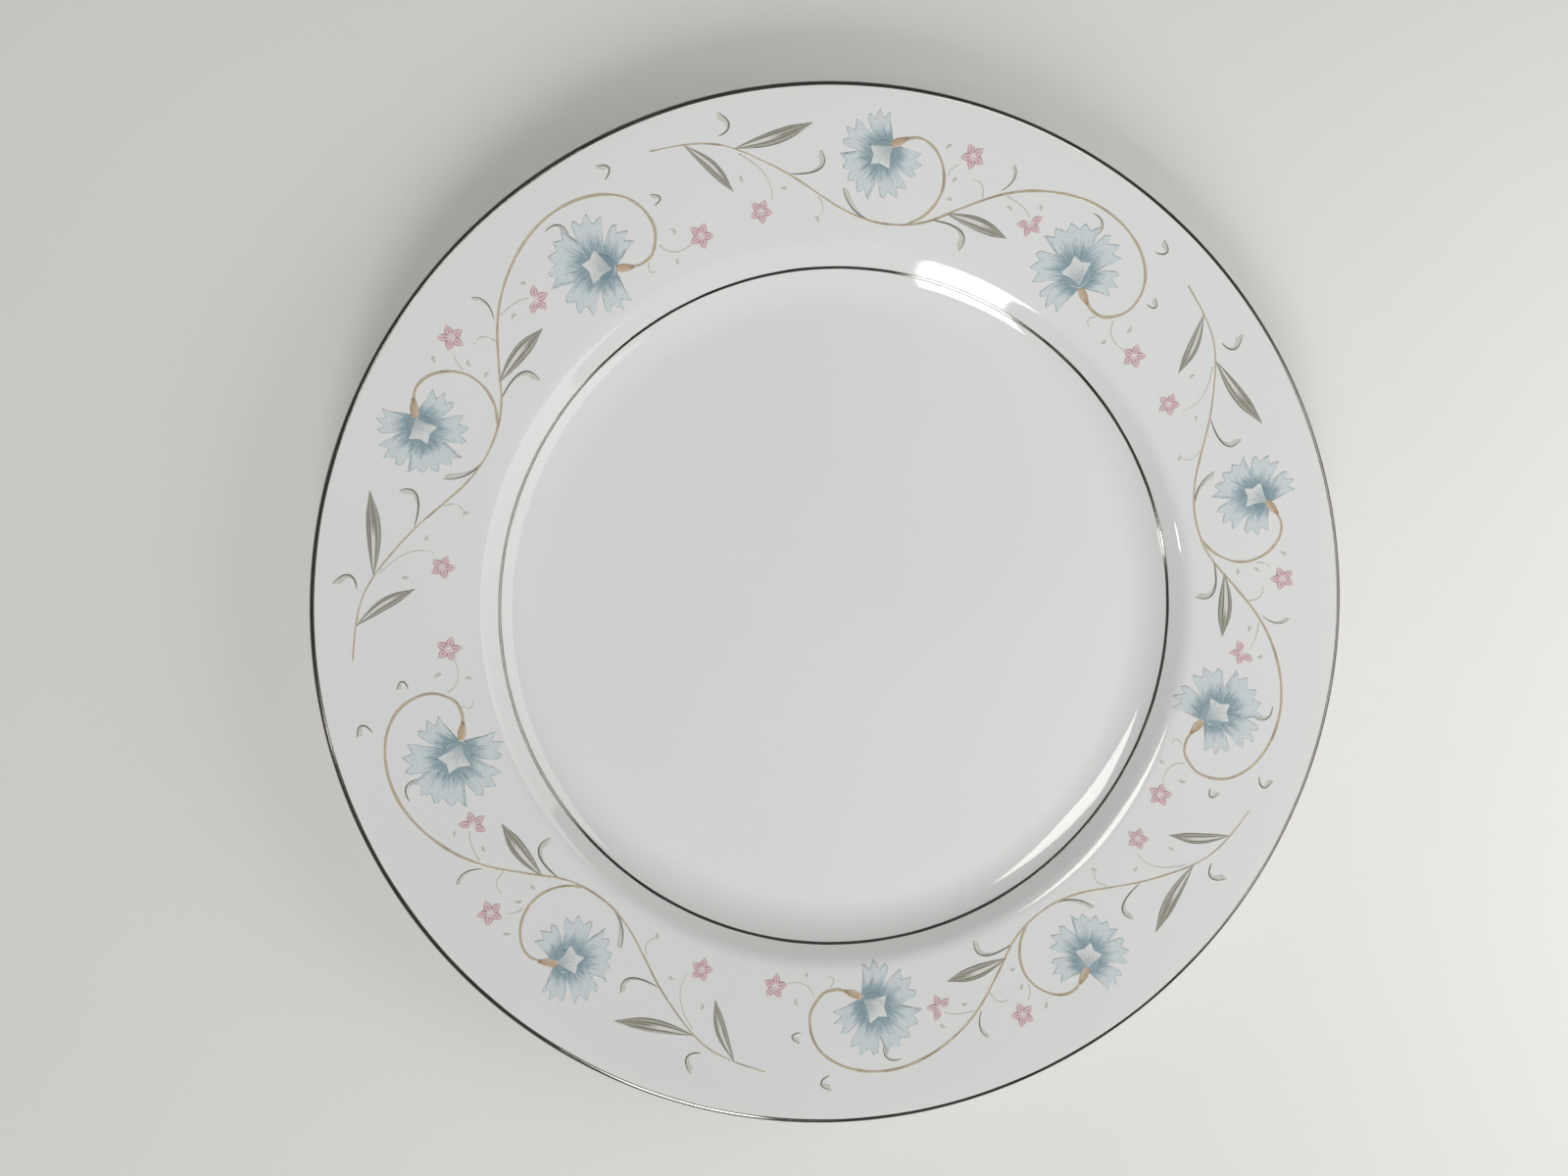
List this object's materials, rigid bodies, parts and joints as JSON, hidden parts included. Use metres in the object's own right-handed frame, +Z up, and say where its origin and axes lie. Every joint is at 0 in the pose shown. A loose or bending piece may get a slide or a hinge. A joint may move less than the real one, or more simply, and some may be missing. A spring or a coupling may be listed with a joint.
{
  "type": "china dinner plate",
  "caption": "Round china dinner plate with a shallow well, broad sloping rim, foot ring, platinum lines and printed floral sprays on the rim.",
  "frame": {"origin": "centre of the foot ring's standing circle, on the plane the plate rests on", "axes": "+Z up along the plate's axis, through the well; +X to the right and +Y away as the plate is seen from its front"},
  "size_m": [0.2604, 0.2604, 0.0207],
  "materials": {
    "bisque_porcelain": "matte",
    "clear_glaze": "gloss",
    "platinum": "gloss",
    "blue_ink": "gloss",
    "orange_ink": "gloss",
    "brown_ink": "gloss",
    "green_ink": "gloss",
    "pink_ink": "gloss",
    "grey_ink": "gloss"
  },
  "bodies": {
    "root": {"porcelain_body": "bisque_porcelain", "glaze_coat": "clear_glaze", "foot_recess_glaze": "clear_glaze", "lip_band": "platinum", "verge_band": "platinum", "spray_1_blue_carnations": "blue_ink", "spray_1_orange_calyxes": "orange_ink", "spray_1_brown_vine": "brown_ink", "spray_1_green_leaves": "green_ink", "spray_1_pink_stars": "pink_ink", "spray_1_grey_tendrils": "grey_ink", "spray_2_blue_carnations": "blue_ink", "spray_2_orange_calyxes": "orange_ink", "spray_2_brown_vine": "brown_ink", "spray_2_green_leaves": "green_ink", "spray_2_pink_stars": "pink_ink", "spray_2_grey_tendrils": "grey_ink", "spray_3_blue_carnations": "blue_ink", "spray_3_orange_calyxes": "orange_ink", "spray_3_brown_vine": "brown_ink", "spray_3_green_leaves": "green_ink", "spray_3_pink_stars": "pink_ink", "spray_3_grey_tendrils": "grey_ink", "spray_4_blue_carnations": "blue_ink", "spray_4_orange_calyxes": "orange_ink", "spray_4_brown_vine": "brown_ink", "spray_4_green_leaves": "green_ink", "spray_4_pink_stars": "pink_ink", "spray_4_grey_tendrils": "grey_ink", "spray_5_blue_carnations": "blue_ink", "spray_5_orange_calyxes": "orange_ink", "spray_5_brown_vine": "brown_ink", "spray_5_green_leaves": "green_ink", "spray_5_pink_stars": "pink_ink", "spray_5_grey_tendrils": "grey_ink"}
  },
  "joints": []
}
